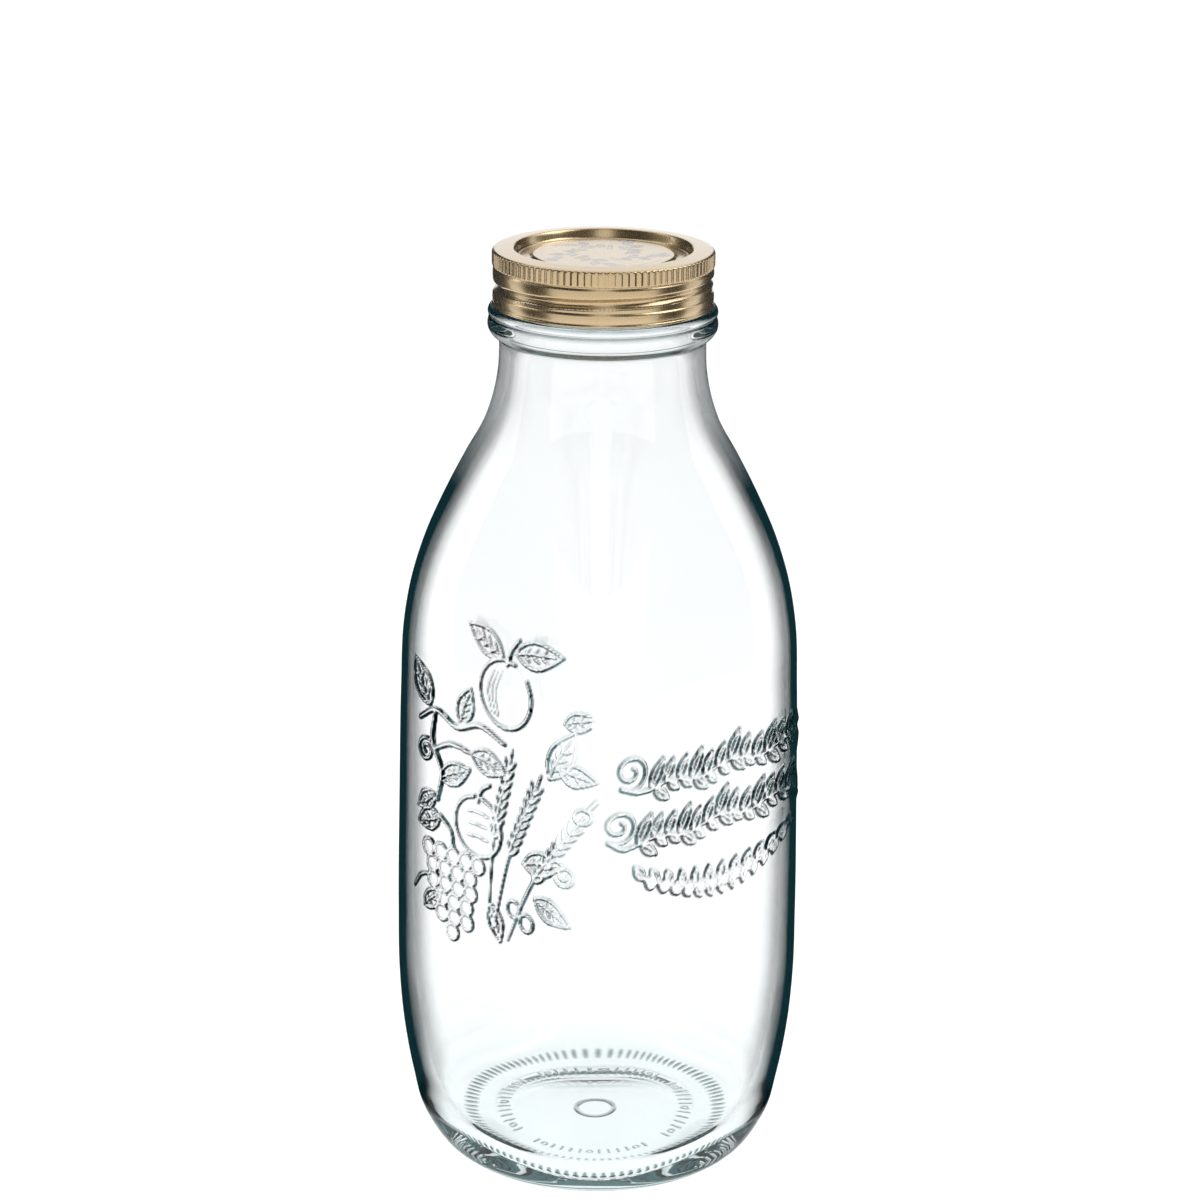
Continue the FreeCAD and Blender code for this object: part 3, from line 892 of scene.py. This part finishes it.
def gold_material():
    """Satin gold lacquer over tinplate, with the print on the panel and on the ledge."""
    m, tree, shader = material("gold_cap")
    grain = noise(tree, 2600.0, 3.0, 0.5)
    cloud = noise(tree, 45.0, 3.0)
    tone = ramp(tree, cloud.outputs["Fac"], ((0.3, (0.535, 0.395, 0.215)), (0.7, (0.58, 0.435, 0.25))))
    mix = tree.nodes.new("ShaderNodeMix")
    mix.data_type = "RGBA"
    tree.links.new(attribute(tree, "print"), mix.inputs["Factor"])
    tree.links.new(tone, mix.inputs["A"])
    mix.inputs["B"].default_value = (0.25, 0.24, 0.24, 1)
    tree.links.new(mix.outputs["Result"], shader.inputs["Base Color"])
    shader.inputs["Metallic"].default_value = 1.0
    satin = ramp(tree, grain.outputs["Fac"], ((0.3, grey(0.25)), (0.75, grey(0.29))))
    tree.links.new(satin, shader.inputs["Roughness"])
    shader.inputs["Coat Weight"].default_value = 1.0
    shader.inputs["Coat Roughness"].default_value = 0.12
    roughen(tree, shader, grain, 0.015)
    return m


def seal_material():
    """Off-white flowed-in compound, matt with fine pores."""
    m, tree, shader = material("seal_compound")
    pores = noise(tree, 700.0, 4.0)
    tone = ramp(tree, pores.outputs["Fac"], ((0.35, (0.66, 0.63, 0.56)), (0.7, (0.80, 0.78, 0.71))))
    tree.links.new(tone, shader.inputs["Base Color"])
    shader.inputs["Roughness"].default_value = 0.6
    roughen(tree, shader, pores, 0.2)
    return m


# ================================ stage, light and camera ================================

def plain(name, colour):
    """A matt material of one colour, for the stage only."""
    m, _, shader = material(name)
    shader.inputs["Base Color"].default_value = (*colour, 1)
    shader.inputs["Roughness"].default_value = 0.9
    return m


def build_floor():
    """A wide pale floor, a hair under the bottle so that the two never share a plane."""
    size, low = 12.0, -0.0002
    corners = [(-size, -size, low), (size, -size, low), (size, size, low), (-size, size, low)]
    mesh = bpy.data.meshes.new("floor")
    mesh.from_pydata(corners, [], [(0, 1, 2, 3)])
    floor = bpy.data.objects.new("floor", mesh)
    bpy.context.scene.collection.objects.link(floor)
    mesh.materials.append(plain("floor_paper", grey(0.92)))


def build_world():
    """White studio light from all round, a little brighter overhead."""
    world = bpy.data.worlds.new("studio")
    bpy.context.scene.world = world
    world.use_nodes = True
    tree = world.node_tree
    background = tree.nodes["Background"]
    place = tree.nodes.new("ShaderNodeTexCoord")
    split = tree.nodes.new("ShaderNodeSeparateXYZ")
    tree.links.new(place.outputs["Generated"], split.inputs[0])
    glow = ramp(tree, split.outputs["Z"], ((0.0, grey(1.05)), (0.75, grey(1.10))))
    tree.links.new(glow, background.inputs["Color"])
    background.inputs["Strength"].default_value = 1.0


def flag(name, first, last, rings):
    """A dark studio flag, from one angle about the axis to another, through rings of (radius, height).

    Only mirror reflections see it: it shapes the shine on the glass and the metal and nothing else.
    """
    angles = np.radians(np.linspace(first, last, 13))
    points = [(r * math.cos(a), r * math.sin(a), z) for r, z in rings for a in angles]
    n = len(angles)
    faces = [(k * n + i, k * n + i + 1, (k + 1) * n + i + 1, (k + 1) * n + i)
             for k in range(len(rings) - 1) for i in range(n - 1)]
    mesh = bpy.data.meshes.new(name)
    mesh.from_pydata(points, [], faces)
    card = bpy.data.objects.new(name, mesh)
    bpy.context.scene.collection.objects.link(card)
    mesh.materials.append(plain(name + "_cloth", (0.012, 0.014, 0.016)))
    for ray in ("camera", "diffuse", "shadow", "volume_scatter", "transmission"):
        setattr(card, "visible_" + ray, False)


def area_light(name, place, target, size, power):
    """A rectangular lamp that looks at a target."""
    data = bpy.data.lights.new(name, "AREA")
    data.shape = "RECTANGLE"
    data.size, data.size_y = size
    data.energy = power
    lamp = bpy.data.objects.new(name, data)
    lamp.location = place
    lamp.rotation_euler = (Vector(target) - Vector(place)).to_track_quat("-Z", "Y").to_euler()
    bpy.context.scene.collection.objects.link(lamp)


def build_camera():
    """A long lens that looks down at the corner between the two decorated faces."""
    data = bpy.data.cameras.new("camera")
    camera = bpy.data.objects.new("camera", data)
    distance, height = 0.784, 0.404
    azimuth, pitch, roll = math.radians(45), math.radians(18.17), math.radians(0.6)
    data.sensor_width = 36.0
    data.lens = 98.43
    data.clip_start = 0.02
    turn = Matrix.Rotation(azimuth, 4, "Z")
    camera.matrix_world = (Matrix.Translation(turn @ Vector((0, -distance, height))) @ turn
                           @ Matrix.Rotation(math.pi / 2 - pitch, 4, "X") @ Matrix.Rotation(roll, 4, "Z"))
    bpy.context.scene.collection.objects.link(camera)
    bpy.context.scene.camera = camera


# ================================ the scene ================================

for piece, finish in ((build_bottle(), glass_material()), (build_cap(), gold_material()),
                      (build_seal(), seal_material())):
    piece.data.materials.append(finish)

build_floor()
build_world()
LOW_RINGS = ((0.42, 0.02), (0.40, 0.50))
TALL_RINGS = ((0.42, 0.02), (0.40, 0.60))
OVERHEAD_RINGS = ((1.1, 0.55), (1.0, 1.3), (0.05, 1.6))
for name, first, last, rings in (
    ("flag_right", 73, 118, LOW_RINGS), ("flag_left", 152, 205, TALL_RINGS),
    ("strip_right", 12, 46, LOW_RINGS), ("strip_left", 226, 260, TALL_RINGS),
    ("flag_high_left", -150, -58, OVERHEAD_RINGS), ("flag_high_right", -34, 60, OVERHEAD_RINGS),
):
    flag(name, first, last, rings)
middle = (0, 0, 0.15)
area_light("key", (0.6, 0.5, 1.1), middle, (0.7, 0.7), 5)
area_light("fill", (-0.9, -0.7, 0.9), middle, (0.6, 0.6), 2.5)
build_camera()
bpy.context.scene.view_settings.view_transform = "Standard"
